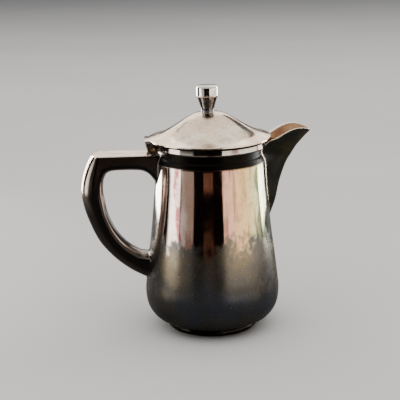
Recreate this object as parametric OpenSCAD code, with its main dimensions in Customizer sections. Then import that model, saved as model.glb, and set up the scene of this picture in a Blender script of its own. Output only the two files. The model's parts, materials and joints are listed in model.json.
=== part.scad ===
// Small silver plated serving jug with a hinged lid, for cream or hot milk.
// Millimetres. +Z is up, +X points out of the spout, -X out of the handle.
// The origin is the middle of the foot ring, on the table.

/* [Body] */
// Thickness of the body and spout sheet
wall = 1.0; // [0.8:0.1:1.2]
// Outer radius of the foot ring
foot_r = 23.2; // [22.5:0.1:24]
// Height of the foot ring
foot_h = 3; // [2.5:0.1:3]
// Height of the rim from the table
rim_z = 97; // [96.5:0.1:97.2]
// Outer radius of the neck that the collar fits round
neck_r = 26.3; // [26:0.1:26.5]
// Largest radius of the collar, at its top
collar_r = 28.3; // [27.8:0.1:28.5]
// Height of the collar
collar_h = 3.8; // [3:0.1:4.5]

/* [Lid] */
// Tilt of the closed lid, which stands a little proud at the front
lid_tilt = 0.6; // [0:0.1:1]
// Radius of the lid at its rim
lid_r = 30.8; // [30.5:0.1:31.2]
// Thickness of the lid sheet
lid_wall = 0.9; // [0.7:0.1:1]
// How far the lid sits back towards its hinge
lid_back = 0.3; // [0:0.1:0.4]
// Gap between the collar and the closed lid
lid_gap = 0.3; // [0.3:0.05:0.5]
// Outer radius of the ring inside the lid that centres it in the neck
bezel_r = 24; // [23.6:0.1:24.1]
// How far that ring reaches below the lid's rim
bezel_drop = 3.4; // [2.5:0.1:3.6]

/* [Knob] */
// Radius of the knob's head
knob_r = 5.7; // [5.5:0.1:6.2]
// Radius of the knob where it stands on the lid
knob_neck_r = 3.3; // [3:0.1:3.6]
// Height of the knob's head
knob_head_h = 5.4; // [5:0.1:5.8]
// Height of the knob
knob_h = 13.3; // [12:0.1:14]
// How far the knob stands behind the jug's axis
knob_back = 0.8; // [0:0.1:0.9]

/* [Handle] */
// Width of the handle across the jug
handle_w = 15; // [13:0.5:15]
// Thickness of the handle's pressed sheet
handle_wall = 0.9; // [0.7:0.1:1.1]

/* [Hinge] */
// Distance of the hinge axis behind the jug's axis
hinge_x = 29.4; // [29.3:0.1:29.6]
// Height of the hinge axis
hinge_z = 94.1; // [94:0.1:94.3]
// Radius of the hinge pin
pin_r = 1.3; // [1:0.1:1.3]
// Radius of the hinge knuckles
knuckle_r = 1.75; // [1.6:0.05:1.75]
// Half width of the hinge leaf on the lid
leaf_y = 7; // [6:0.5:7]

/* [Hidden] */
$fn = 96;
eps = 0.01;
silver = "silver";

// Points of a smooth curve through the points p (Catmull-Rom), with n steps between neighbours.
function curve_at(a, b, c, d, t) =
    0.5 * (2 * b + (c - a) * t + (2 * a - 5 * b + 4 * c - d) * t * t
    + (3 * b - a - 3 * c + d) * t * t * t);
function smooth(p, n) = [
    for (i = [0:len(p) - 2])
        for (k = [0:n - 1])
            curve_at(p[max(i - 1, 0)], p[i], p[i + 1], p[min(i + 2, len(p) - 1)], k / n),
    p[len(p) - 1]
];
function reverse(p) = [for (i = [len(p) - 1:-1:0]) p[i]];
function unit(v) = v / norm(v);

// Body outline as [radius, height]: rounded base, long slow taper, then the groove under the collar.
belly = [[22.6, foot_h], [29.4, 6.2], [33.2, 11.4], [34.4, 18.5], [33.8, 26.5], [32.4, 38],
         [30.8, 50], [29.4, 63], [28.3, 75], [27.9, 86.6]];
shoulder = [[neck_r + 0.7, 89], [neck_r + 0.1, 89.9], [neck_r, 91.2]];
body_line = concat(smooth(belly, 5), shoulder, [[neck_r, rim_z]]);
body_inner = [for (p = body_line) if (p[1] > foot_h + 1.6) [p[0] - wall, p[1]]];
floor_z = foot_h + wall;
collar_line = [[neck_r + 0.7, rim_z - collar_h], [collar_r - 0.45, rim_z - 0.7 * collar_h],
               [collar_r - 0.05, rim_z - 0.4 * collar_h], [collar_r, rim_z - 0.5], [collar_r - 0.4, rim_z]];

// Radius of the body at a height
body_by_z = [for (p = body_line) [p[1], p[0]]];
function body_r(z) = lookup(z, body_by_z);

// Solid of revolution of a [radius, height] outline
module turned(p) rotate_extrude() polygon(p);

module body_envelope() turned(concat([[0, foot_h]], body_line, [[0, rim_z]]));

module collar_blank() turned(concat([[0, collar_line[0][1]]], collar_line, [[0, rim_z]]));

// ---- spout -------------------------------------------------------------------
// Rows from the joint at its foot to the tip: edge [x, half width, z], ridge [x, z].
// An edge x of 0 means that the edge lies on the body.
spout_rows = [
    [[0, 0.9, 57.6], [30.3, 57]],
    [[0, 3.2, 66], [33.1, 65.1]],
    [[0, 5.6, 76], [35.1, 74.4]],
    [[0, 7.6, 86], [38.1, 83.2]],
    [[0, 9.0, 92], [40.8, 88]],
    [[27.6, 9.6, 96.4], [43.6, 92.3]],
    [[32, 10.4, 98.2], [46.2, 95.4]],
    [[36.6, 10.4, 100.9], [48.3, 97.7]],
    [[41, 9.6, 102.5], [49.6, 99]],
    [[45, 7.6, 102.6], [50.3, 99.6]],
    [[48.3, 4.6, 101.7], [50.7, 100]],
    [[50.4, 1.3, 100.7], [50.9, 100.2]]
];
spout_steps = 2;
spout_across = 12;
ridge_round = 0.28;
edge_sunk = 0.4;
spout_flat = [for (r = spout_rows)
    concat([r[0][0] > 0 ? r[0][0] : sqrt(pow(body_r(r[0][2]) - edge_sunk, 2) - pow(r[0][1], 2)),
            r[0][1], r[0][2]], r[1])];
// Share of the way from ridge to edge, rounded at the ridge
function vee(v) = (sqrt(v * v + ridge_round * ridge_round) - ridge_round)
    / (sqrt(1 + ridge_round * ridge_round) - ridge_round);
function spout_point(r, v) = [r[3] + (r[0] - r[3]) * vee(v), r[1] * v, r[4] + (r[2] - r[4]) * vee(v)];
// The inside of the same row, one sheet thickness in
function inset_row(r) = let (share = min(0.5, wall / norm([r[0] - r[3], r[2] - r[4]])))
    [r[0], r[1] * r[1] / (r[1] + wall), r[2],
     r[3] + (r[0] - r[3]) * share, r[4] + (r[2] - r[4]) * share];
function spout_ring(r) = let (inside = inset_row(r)) concat(
    [for (k = [0:spout_across]) spout_point(r, 2 * k / spout_across - 1)],
    [for (k = [spout_across:-1:0]) spout_point(inside, 2 * k / spout_across - 1)]);

// Faces of a closed tube of rings with m points each, for n rings
function ring_faces(n, m) = [for (i = [0:n - 2]) for (k = [0:m - 1])
    [i * m + k, i * m + (k + 1) % m, (i + 1) * m + (k + 1) % m, (i + 1) * m + k]];
// End caps of strips between the first half of a ring and its second half
function cap_faces(start, m, flip) = [for (k = [0:m / 2 - 2])
    flip ? [start + k, start + m - 1 - k, start + m - 2 - k, start + k + 1]
         : [start + k, start + k + 1, start + m - 2 - k, start + m - 1 - k]];

module ring_solid(rings) {
    n = len(rings);
    m = len(rings[0]);
    polyhedron(points = [for (r = rings) for (p = r) p],
               faces = concat(ring_faces(n, m), cap_faces(0, m, true), cap_faces((n - 1) * m, m, false)));
}

// ---- handle ------------------------------------------------------------------
// Stations from the neck round to the lower joint: outer crest [x, z], inner crest [x, z], how far
// the sides lie behind the outer crest, and how far they lie above the inner one. The last two are
// shares of the thickness, but along the flat top the first is a distance [x, z].
handle_top_z = 91.2;
corner_x = -59.5;
arm_rows = [
    [[-26.6, handle_top_z], [-27.6, 75.6], [0, 0], 0.24],
    [[-28.6, handle_top_z], [-29.2, 78], [0, 0], 0.26],
    [[-31, handle_top_z], [-31.4, 80.6], [0, 0], 0.3],
    [[-34.5, handle_top_z], [-34.5, 82.3], [0, 0], 0.38],
    [[-40, handle_top_z], [-39, 82.8], [0, 0], 0.42],
    [[-48, handle_top_z], [-45.5, 82.9], [0.4, 0], 0.42],
    [[-54, handle_top_z], [-50.2, 82.6], [2, 0], 0.38]
];
limb_rows = [
    [[corner_x, handle_top_z], [-52.4, 81.4], [3.5, 0], 0.34],
    [[-62, 86.6], [-53.6, 79.2], 0.54, 0.3],
    [[-64.4, 79.4], [-54.3, 75.8], 0.62, 0.27],
    [[-65.4, 72.5], [-54.4, 71.5], 0.66, 0.26],
    [[-64.5, 65.2], [-53.7, 66.8], 0.68, 0.25],
    [[-62, 56.8], [-52.5, 60.6], 0.7, 0.24],
    [[-57.2, 46.2], [-48.7, 51.7], 0.7, 0.24],
    [[-50, 37.4], [-43.2, 44.8], 0.68, 0.25],
    [[-42.2, 31], [-36.8, 40.4], 0.64, 0.26],
    [[-36.4, 27.6], [-33.6, 39.7], 0.6, 0.27],
    [[-33.9, 26.4], [-32.3, 39.4], 0.58, 0.27]
];
arc_steps = 5;
side_steps = 7;
limb_steps = 2;

// Depth of a crowned edge across the width, 0 at the crest and 1 at the side
function crown(v) = 1 - sqrt(max(0, 1 - pow(v, 2.2)));
// Half of a section, crest to crest round the near side, as [x, y, z] with y from 0 to -w.
// o and i are the crests, and the depths are vectors for their crowns.
function half_section(o, i, depth_o, depth_i, w) = concat(
    [for (k = [0:arc_steps])
        let (v = sin(90 * k / arc_steps), q = o + depth_o * crown(v)) [q[0], -w * v, q[1]]],
    [for (k = [1:side_steps - 1])
        let (q = (o + depth_o) * (1 - k / side_steps) + (i + depth_i) * k / side_steps)
            [q[0], -w, q[1]]],
    [for (k = [arc_steps:-1:0])
        let (v = sin(90 * k / arc_steps), q = i + depth_i * crown(v)) [q[0], -w * v, q[1]]]);
// A row as one list, for smoothing: outer crest, inner crest, outer crown, inner crown
function handle_row(r) = let (across = r[1] - r[0])
    concat(r[0], r[1], is_num(r[2]) ? across * r[2] : r[2], -across * r[3]);
// A ring is the outside of the pressing and then its inside, back to the seam.
function half_ring(q) = let (
        o = [q[0], q[1]],
        i = [q[2], q[3]],
        inward = unit(i - o) * handle_wall,
        out = [q[4], q[5]],
        under = [q[6], q[7]])
    concat(half_section(o, i, out, under, handle_w / 2),
           reverse(half_section(o + inward, i - inward, out * 0.9, under * 0.8,
                                handle_w / 2 - handle_wall)));
solder_gap = 0.02;
// Slides a point along X until it is on the body, for the two ends
function on_body(p) = [-sqrt(pow(body_r(p[2]) + solder_gap, 2) - p[1] * p[1]), p[1], p[2]];
handle_rings = let (
        arm = [for (r = arm_rows) half_ring(handle_row(r))],
        limb = [for (q = smooth([for (r = limb_rows) handle_row(r)], limb_steps)) half_ring(q)])
    concat([[for (p = arm[0]) on_body(p)]], [for (j = [1:len(arm) - 1]) arm[j]],
           [for (j = [0:len(limb) - 2]) limb[j]], [[for (p = limb[len(limb) - 1]) on_body(p)]]);

// ---- lid ---------------------------------------------------------------------
lid_z = rim_z + lid_gap;
knob_seat_r = knob_neck_r + 0.3;
// Outer line of the lid above its rim, as [radius, height]
lid_rise = [[knob_seat_r, 13.3], [6.5, 12.9], [9, 11.9], [12.5, 9.9], [16.3, 7.5], [20.5, 5],
            [25, 2.7], [lid_r, 0.9]];
lid_line = [for (p = smooth(lid_rise, 5)) [p[0], p[1] + lid_z]];
lid_top_z = lid_line[0][1];
lid_under = [for (p = lid_line) [p[0], p[1] - lid_wall]];
screw_r = 1.5;

// Turns what belongs to the lid about the hinge axis, to its closed tilt
module on_lid() translate([-hinge_x, 0, hinge_z]) rotate([0, -lid_tilt, 0])
    translate([hinge_x, 0, -hinge_z]) children();

module hinge_axis() translate([-hinge_x, 0, hinge_z]) rotate([90, 0, 0]) children();

module pin_shape(r, y0, y1) hinge_axis() translate([0, 0, -y1]) cylinder(r = r, h = y1 - y0);

// ---- sub-parts ---------------------------------------------------------------
spout_cut_low_z = 66;
spout_cut_y = 8.2;
spout_cut_low_y = 2.4;

// Opening in the body wall behind the spout, wider towards the rim
module spout_throat() rotate([90, 0, 90]) linear_extrude(40) polygon([
    [-spout_cut_low_y, spout_cut_low_z], [spout_cut_low_y, spout_cut_low_z],
    [spout_cut_y, rim_z - collar_h], [spout_cut_y, rim_z + 1],
    [-spout_cut_y, rim_z + 1], [-spout_cut_y, rim_z - collar_h]]);

module body_shell() color(silver) difference() {
    turned(concat([[0, foot_h]], body_line, reverse(body_inner), [[0, floor_z]]));
    spout_throat();
}

foot_inner_r = 20.6;
module foot_ring() color(silver) turned([
    [foot_inner_r, 0.4], [foot_inner_r + 0.6, 0], [foot_r - 0.5, 0], [foot_r, 0.6],
    [foot_r, foot_h - 0.9], [foot_r - 0.7, foot_h], [foot_inner_r, foot_h]]);

collar_gap_deg = 20.5;
hinge_clear = 0.35;
// Moulding round the neck, open at the spout and relieved for the hinge's knuckles
module collar() color(silver) difference() {
    rotate([0, 0, collar_gap_deg]) rotate_extrude(angle = 360 - 2 * collar_gap_deg)
        polygon(concat([[neck_r, collar_line[0][1]]], collar_line, [[neck_r, rim_z]]));
    pin_shape(knuckle_r + hinge_clear, -leaf_y, leaf_y);
}

module spout() color(silver) ring_solid([for (r = smooth(spout_flat, spout_steps)) reverse(spout_ring(r))]);

module handle_near_half() color(silver) ring_solid(handle_rings);

module handle_far_half() color(silver) mirror([0, 1, 0]) ring_solid(handle_rings);

lug_face_y = 8.2;
lug_cheek_r = 2.6;
lug_clear = 0.25;
knuckle_y = 2.6;
// Behind and in front of the axis, how far a lug's foot reaches
lug_back = 1.4;
lug_front = 4.5;
lug_step = 1;
cheek_in_y = leaf_y + lug_clear;
// One of the two hinge lugs, for the near side: knuckle, cheek and foot, soldered to handle and collar
module lug() difference() {
    union() {
        pin_shape(knuckle_r, -lug_face_y, -knuckle_y);
        pin_shape(lug_cheek_r, -lug_face_y, -cheek_in_y);
        translate([-hinge_x - lug_back, -lug_face_y, handle_top_z])
            cube([lug_back + lug_front, lug_face_y - cheek_in_y, hinge_z - handle_top_z]);
        translate([-hinge_x + lug_back - lug_step, -lug_face_y, handle_top_z + lug_step])
            cube([lug_front - lug_back + lug_step, lug_face_y - knuckle_y - lug_step / 2,
                  hinge_z - handle_top_z - lug_step]);
    }
    pin_shape(pin_r, -lug_face_y - 1, 0);
    body_envelope();
    collar_blank();
}

module hinge_lug_near() color(silver) lug();

module hinge_lug_far() color(silver) mirror([0, 1, 0]) lug();

pin_y = lug_face_y - 0.4;
module hinge_pin() color("goldenrod") pin_shape(pin_r, -pin_y, pin_y);

module lid_shell() color(silver) on_lid() difference() {
    translate([-lid_back, 0, 0])
        turned(concat([[0, lid_top_z]], lid_line, [[lid_r, lid_z]], reverse(lid_under),
                      [[0, lid_top_z - lid_wall]]));
    translate([-knob_back, 0, lid_top_z - 3]) cylinder(r = screw_r + 0.1, h = 6);
}

bezel_top_z = lookup(bezel_r, lid_under);
bezel_inner_r = bezel_r - 0.8;
module lid_bezel() color(silver) on_lid() translate([-lid_back, 0, 0]) turned([
    [bezel_inner_r, lid_z - bezel_drop], [bezel_r, lid_z - bezel_drop],
    [bezel_r, bezel_top_z], [bezel_inner_r, bezel_top_z]]);

leaf_back_x = 33;
flap_low_x = hinge_x + 2.75;
flap_low_z = hinge_z - 0.2;
flap_wall = 0.7;
leaf_front_x = hinge_x - 1.5;
leaf_knuckle_y = knuckle_y - 0.2;
running_gap = 0.06;
// Leaf soldered to the back of the lid: tongue, flap bent down behind the pin, and middle knuckle
module hinge_leaf() color(silver) on_lid() difference() {
    union() {
        difference() {
            rotate([90, 0, 0]) linear_extrude(2 * leaf_y, center = true) polygon([
                [-leaf_front_x, lid_z + lid_wall], [-leaf_back_x, lid_z + lid_wall],
                [-flap_low_x, flap_low_z], [-flap_low_x + flap_wall, flap_low_z],
                [-leaf_back_x + flap_wall + 0.2, lid_z], [-leaf_front_x, lid_z]]);
            translate([-lid_back, 0, 0]) cylinder(r = lid_r, h = lid_z + 10);
        }
        pin_shape(knuckle_r, -leaf_knuckle_y, leaf_knuckle_y);
        rotate([90, 0, 0]) linear_extrude(2 * leaf_knuckle_y, center = true) polygon([
            [-hinge_x, hinge_z + knuckle_r], [-leaf_back_x + flap_wall, hinge_z + knuckle_r],
            [-flap_low_x + eps, flap_low_z], [-hinge_x, flap_low_z]]);
    }
    pin_shape(pin_r + running_gap, -leaf_y, leaf_y);
}

screw_len = 6;
screw_clear = 0.4;
knob_neck_h = knob_h - knob_head_h;
// Neck of the knob, which widens slowly up to the head
knob_neck = [[0, 0], [knob_neck_r + 0.2, 0], [knob_neck_r, 0.7], [knob_neck_r + 0.3, 2.6],
             [knob_neck_r + 0.9, 4.8], [knob_r - 0.5, knob_neck_h]];
module knob() color(silver) on_lid() translate([-knob_back, 0, lid_top_z]) difference() {
    turned(concat(knob_neck, [
        [knob_r - 0.1, knob_neck_h + 0.3], [knob_r, knob_h - 0.6], [knob_r - 0.5, knob_h - 0.15],
        [knob_r - 2, knob_h], [0, knob_h]]));
    translate([0, 0, -1]) cylinder(r = screw_r, h = screw_len + 1 + screw_clear);
}

washer_h = 0.5;
washer_r = 3;
washer_z = lid_top_z - lid_wall - washer_h;
module knob_washer() color(silver) on_lid() translate([-knob_back, 0, washer_z]) difference() {
    cylinder(r = washer_r, h = washer_h);
    translate([0, 0, -1]) cylinder(r = screw_r + 0.1, h = washer_h + 2);
}

screw_head_r = 2.7;
screw_head_h = 1.5;
slot_w = 0.6;
slot_depth = 0.7;
module knob_screw() color(silver) on_lid() translate([-knob_back, 0, 0]) difference() {
    union() {
        translate([0, 0, washer_z - eps]) cylinder(r = screw_r - 0.05, h = screw_len + lid_wall + washer_h);
        translate([0, 0, washer_z - screw_head_h]) cylinder(r = screw_head_r, h = screw_head_h);
    }
    translate([-screw_head_r - 1, -slot_w / 2, washer_z - screw_head_h - 1])
        cube([2 * screw_head_r + 2, slot_w, 1 + slot_depth]);
}

body_shell();
foot_ring();
collar();
spout();
handle_near_half();
handle_far_half();
hinge_lug_near();
hinge_lug_far();
hinge_pin();
lid_shell();
lid_bezel();
hinge_leaf();
knob();
knob_screw();
knob_washer();
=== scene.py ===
"""Looks of the silver cream jug: finely built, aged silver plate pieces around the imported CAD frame."""
import json
import math

import bmesh
import bpy
import numpy as np
from mathutils import Matrix, Vector, noise

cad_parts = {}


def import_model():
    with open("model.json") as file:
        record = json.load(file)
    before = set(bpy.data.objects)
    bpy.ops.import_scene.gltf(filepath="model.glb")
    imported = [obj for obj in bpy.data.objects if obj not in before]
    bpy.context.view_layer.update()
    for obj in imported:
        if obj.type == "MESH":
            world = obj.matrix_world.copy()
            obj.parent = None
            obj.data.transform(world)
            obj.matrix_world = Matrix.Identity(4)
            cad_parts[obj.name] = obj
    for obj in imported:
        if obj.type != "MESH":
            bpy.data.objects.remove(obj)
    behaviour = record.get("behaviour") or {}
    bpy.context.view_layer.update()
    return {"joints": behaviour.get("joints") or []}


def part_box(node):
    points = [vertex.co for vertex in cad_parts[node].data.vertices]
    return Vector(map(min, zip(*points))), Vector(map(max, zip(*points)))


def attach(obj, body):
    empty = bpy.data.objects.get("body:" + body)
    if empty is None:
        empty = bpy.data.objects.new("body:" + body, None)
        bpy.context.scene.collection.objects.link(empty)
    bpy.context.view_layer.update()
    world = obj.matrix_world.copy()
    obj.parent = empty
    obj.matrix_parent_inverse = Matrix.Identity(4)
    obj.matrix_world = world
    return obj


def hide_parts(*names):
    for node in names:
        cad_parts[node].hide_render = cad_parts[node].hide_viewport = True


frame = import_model()

# ---- sizes, in metres -----------------------------------------------------------
WALL = 0.001
RIM_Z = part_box("body_shell")[1].z
FOOT_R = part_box("foot_ring")[1].x
FOOT_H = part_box("foot_ring")[1].z
COLLAR_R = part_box("collar")[1].y
COLLAR_LOW_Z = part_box("collar")[0].z
NECK_R = 0.0263
HINGE = Vector(frame["joints"][0]["pos_m"])
HINGE_X = HINGE.x
HINGE_Z = HINGE.z
LID_TILT = math.radians(0.6)
LID_R = 0.0308
LID_WALL = 0.0009
LID_Z = RIM_Z + 0.0003
LID_BACK = 0.0003
KNOB_BACK = 0.0008
HANDLE_HALF_W = 0.0075
HANDLE_WALL = 0.0009
PIN_R = 0.0013
KNUCKLE_R = 0.00175
LUG_FACE_Y = 0.0082
LUG_CHEEK_R = 0.0026
LEAF_Y = 0.007
KNUCKLE_Y = 0.0026
HINGE_CLEAR = 0.00035
SCREW_R = 0.0015
SCREW_HOLE_R = SCREW_R + 0.0001
TAU = 2 * math.pi
SHARP_DEG = 38


# ---- curves ---------------------------------------------------------------------
def smooth(points, steps):
    """Catmull-Rom curve through the points, with that many steps between neighbours."""
    pts = [np.array(p, float) for p in points]
    last = len(pts) - 1
    line = []
    for i in range(last):
        a, b, c, d = pts[max(i - 1, 0)], pts[i], pts[i + 1], pts[min(i + 2, last)]
        for k in range(steps):
            t = k / steps
            line.append(0.5 * (2 * b + (c - a) * t + (2 * a - 5 * b + 4 * c - d) * t * t
                               + (3 * b - a - 3 * c + d) * t ** 3))
    return line + [pts[last]]


def rounded(corners, steps=4, closed=True):
    """Outline through corners (r, z, radius), each corner rounded to its radius."""
    n = len(corners)
    line = []
    for i, (x, z, radius) in enumerate(corners):
        p = np.array((x, z), float)
        if radius == 0 or (not closed and i in (0, n - 1)):
            line.append(p)
            continue
        a = np.array(corners[i - 1][:2], float) - p
        b = np.array(corners[(i + 1) % n][:2], float) - p
        la, lb = np.linalg.norm(a), np.linalg.norm(b)
        half = 0.5 * math.acos(np.clip(a @ b / (la * lb), -1, 1))
        reach = min(radius / math.tan(half), 0.49 * la, 0.49 * lb)
        start, end = p + a / la * reach, p + b / lb * reach
        for k in range(steps + 1):
            t = k / steps
            line.append((1 - t) ** 2 * start + 2 * t * (1 - t) * p + t * t * end)
    return line


# ---- mesh building --------------------------------------------------------------
def finish_mesh(name, bm, sharp_deg=SHARP_DEG):
    bmesh.ops.remove_doubles(bm, verts=bm.verts, dist=1e-7)
    bmesh.ops.recalc_face_normals(bm, faces=bm.faces)
    mesh = bpy.data.meshes.new(name)
    bm.to_mesh(mesh)
    bm.free()
    mesh.shade_smooth()
    mesh.set_sharp_from_angle(angle=math.radians(sharp_deg))
    obj = bpy.data.objects.new(name, mesh)
    bpy.context.scene.collection.objects.link(obj)
    return obj


def revolve(name, outline, segments, start=0.0, sweep=TAU):
    """Solid of revolution about Z of a closed (r, z) outline."""
    full = abs(sweep - TAU) < 1e-9
    columns = segments if full else segments + 1
    bm = bmesh.new()
    grid = []
    for j in range(columns):
        angle = start + sweep * j / segments
        c, s = math.cos(angle), math.sin(angle)
        grid.append([bm.verts.new((p[0] * c, p[0] * s, p[1])) for p in outline])
    m = len(outline)
    for j in range(segments):
        a, b = grid[j], grid[(j + 1) % columns]
        for k in range(m):
            q = (k + 1) % m
            if outline[k][0] < 1e-9 and outline[q][0] < 1e-9:
                continue
            bm.faces.new((a[k], a[q], b[q], b[k]))
    if not full:
        bm.faces.new(grid[0])
        bm.faces.new(reversed(grid[-1]))
    return finish_mesh(name, bm)


def loft(name, rings, sharp_deg, finish=None):
    """Tube through closed rings of equal length, closed by strips between a ring's two halves.

    finish may list each strip's material number round the ring.
    """
    bm = bmesh.new()
    grid = [[bm.verts.new(p) for p in ring] for ring in rings]
    m = len(rings[0])
    for a, b in zip(grid, grid[1:]):
        for k in range(m):
            q = (k + 1) % m
            bm.faces.new((a[k], a[q], b[q], b[k])).material_index = finish[k] if finish else 0
    for ring in (grid[0], grid[-1]):
        for k in range(m // 2 - 1):
            bm.faces.new((ring[k], ring[k + 1], ring[m - 2 - k], ring[m - 1 - k]))
    return finish_mesh(name, bm, sharp_deg)


def prism(name, outline, y0, y1, bevel):
    """Plate with an (x, z) outline between two y, with bevelled edges."""
    bm = bmesh.new()
    low = [bm.verts.new((p[0], y0, p[1])) for p in outline]
    high = [bm.verts.new((p[0], y1, p[1])) for p in outline]
    n = len(outline)
    for k in range(n):
        q = (k + 1) % n
        bm.faces.new((low[k], low[q], high[q], high[k]))
    bm.faces.new(low)
    bm.faces.new(high)
    bmesh.ops.recalc_face_normals(bm, faces=bm.faces)
    if bevel:
        sharp = [e for e in bm.edges if e.calc_face_angle(0) > math.radians(30)]
        bmesh.ops.bevel(bm, geom=sharp, offset=bevel, segments=3, profile=0.5,
                        affect="EDGES", clamp_overlap=True)
    return finish_mesh(name, bm)


def modified(obj, kind, **settings):
    """Applies one modifier to obj and returns obj."""
    modifier = obj.modifiers.new(kind, kind)
    for key, value in settings.items():
        setattr(modifier, key, value)
    graph = bpy.context.evaluated_depsgraph_get()
    mesh = bpy.data.meshes.new_from_object(obj.evaluated_get(graph))
    obj.modifiers.clear()
    obj.data = mesh
    return obj


def combine(obj, tool, operation):
    """Boolean of obj with tool, which is used up."""
    modified(obj, "BOOLEAN", object=tool, operation=operation, solver="EXACT")
    bpy.data.objects.remove(tool)
    obj.data.set_sharp_from_angle(angle=math.radians(SHARP_DEG))
    return obj


def wander(obj, depth, size, seed):
    """Moves the surface in by up to depth, in soft patches of about that size."""
    normals = [v.normal.copy() for v in obj.data.vertices]
    for v, n in zip(obj.data.vertices, normals):
        v.co -= n * depth * (0.5 + 0.5 * noise.noise(v.co / size + Vector((seed, seed, seed))))
    return obj


def along_y(obj):
    """Turns a piece revolved about Z so that its axis is the hinge axis."""
    obj.data.transform(Matrix.Translation(HINGE) @ Matrix.Rotation(math.pi / 2, 4, "X"))
    return obj


def on_lid(obj):
    """Gives a piece that was built level the closed lid's tilt."""
    turn = Matrix.Rotation(-LID_TILT, 4, "Y")
    obj.data.transform(Matrix.Translation(HINGE) @ turn @ Matrix.Translation(-HINGE))
    return obj


def mirrored(obj, name):
    """Copy of obj on the other side of the jug."""
    mesh = obj.data.copy()
    mesh.transform(Matrix.Scale(-1, 4, (0, 1, 0)))
    mesh.flip_normals()
    twin = bpy.data.objects.new(name, mesh)
    bpy.context.scene.collection.objects.link(twin)
    return twin


# ---- materials ------------------------------------------------------------------
class Shader:
    """A material and short calls that add nodes to it. Positions are the jug's own, in metres."""

    def __init__(self, name):
        self.material = bpy.data.materials.new(name)
        self.material.use_nodes = True
        self.tree = self.material.node_tree
        self.tree.nodes.clear()
        self.place = self.add("TexCoord").outputs["Object"]
        split = self.add("SeparateXYZ", {"Vector": self.place})
        self.x, self.y, self.z = split.outputs

    def add(self, kind, sockets=None, **settings):
        node = self.tree.nodes.new("ShaderNode" + kind)
        for key, value in settings.items():
            setattr(node, key, value)
        for key, value in (sockets or {}).items():
            if isinstance(value, bpy.types.NodeSocket):
                self.tree.links.new(value, node.inputs[key])
            else:
                node.inputs[key].default_value = value
        return node

    def noise(self, size, detail=3.0, rough=0.55, stretch=(1, 1, 1), shift=0.0, distort=0.0):
        """Noise from 0 to 1 whose patches are about size metres, stretched along the axes."""
        where = self.add("Mapping", {"Vector": self.place, "Location": (shift, shift, shift),
                                     "Scale": tuple(1 / s for s in stretch)})
        node = self.add("TexNoise", {"Vector": where.outputs[0], "Scale": 1 / size, "Detail": detail,
                                     "Roughness": rough, "Distortion": distort})
        return node.outputs[0]

    def specks(self, size, share):
        """1 in small round spots, 0 elsewhere. The cells are size metres, a spot takes that share."""
        cells = self.add("TexVoronoi", {"Vector": self.place, "Scale": 1 / size})
        return self.fade(cells.outputs["Distance"], share + 0.05, share)

    def fade(self, value, low, high, out_low=0.0, out_high=1.0):
        """Smooth step of value from low to high."""
        node = self.add("MapRange", {0: value, 1: low, 2: high, 3: out_low, 4: out_high},
                        interpolation_type="SMOOTHSTEP")
        return node.outputs[0]

    def fade_line(self, value, low, high, out_low=0.0, out_high=1.0):
        """Straight step of value from low to high."""
        node = self.add("MapRange", {0: value, 1: low, 2: high, 3: out_low, 4: out_high})
        return node.outputs[0]

    def math(self, operation, a, b=0.0):
        return self.add("Math", {0: a, 1: b}, operation=operation).outputs[0]

    def ramp(self, value, stops):
        """Colours at places from 0 to 1, blended softly."""
        node = self.add("ValToRGB", {0: value})
        node.color_ramp.interpolation = "EASE"
        elements = node.color_ramp.elements
        while len(elements) < len(stops):
            elements.new(0.5)
        for element, (at, colour) in zip(elements, stops):
            element.position = at
            element.color = (*colour, 1)
        return node.outputs[0]

    def mix(self, share, a, b, blend="MIX"):
        node = self.add("Mix", {}, data_type="RGBA", blend_type=blend)
        for index, value in ((0, share), (6, a), (7, b)):
            if isinstance(value, bpy.types.NodeSocket):
                self.tree.links.new(value, node.inputs[index])
            else:
                node.inputs[index].default_value = (*value, 1) if index else value
        return node.outputs[2]

    def bump(self, height, depth, strength=1.0, under=None):
        sockets = {"Height": height, "Distance": depth, "Strength": strength}
        if under:
            sockets["Normal"] = under
        return self.add("Bump", sockets).outputs[0]

    def surface(self, shader):
        """Makes shader the material's surface and returns the material."""
        self.tree.links.new(shader.outputs[0], self.add("OutputMaterial").inputs[0])
        return self.material

    def metal(self, colour, roughness, normal):
        return self.surface(self.add("BsdfPrincipled", {
            "Base Color": colour, "Roughness": roughness, "Metallic": 1.0, "Normal": normal}))


def silver_finish(s, colour, rough_low, rough_high, worn=0.3, dented=0.5, haze=0.0):
    """What every piece shares: fine mottling, dark pits, hairlines, soft dents and worn edges.

    Returns colour, roughness and normal.
    """
    mottle = s.noise(0.0016, detail=5, rough=0.65)
    colour = s.mix(s.fade(mottle, 0.35, 0.7, 0, 0.25), colour, (0.62, 0.57, 0.5), "MULTIPLY")
    patch = s.fade(s.noise(0.012, shift=3.1), 0.5, 0.66, 0, 0.6)
    spot = s.math("MULTIPLY", s.specks(0.0021, 0.09), patch)
    colour = s.mix(spot, colour, (0.03, 0.026, 0.022))
    edge = s.add("NewGeometry").outputs["Pointiness"]
    colour = s.mix(s.fade(edge, 0.53, 0.62, 0, worn), colour, (0.85, 0.8, 0.72))
    colour = s.mix(s.fade(edge, 0.47, 0.4, 0, 0.8), colour, (0.02, 0.018, 0.015))
    smudge = s.noise(0.009, detail=4, rough=0.6, shift=7.7, distort=0.4)
    rough = s.fade(smudge, 0.3, 0.72, rough_low, rough_high)
    rough = s.math("ADD", rough, s.fade(mottle, 0.5, 0.8, 0, 0.04))
    rough = s.math("ADD", rough, haze)
    dents = s.bump(s.noise(0.0055, detail=2, shift=1.3), 0.00002, dented)
    hair = s.noise(0.0009, detail=3, stretch=(6, 0.7, 2.2), distort=0.3)
    return colour, rough, s.bump(hair, 0.000003, 0.3, dents)


def radius(s):
    """Distance from the jug's axis."""
    return s.math("SQRT", s.math("ADD", s.math("MULTIPLY", s.x, s.x), s.math("MULTIPLY", s.y, s.y)))


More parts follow.
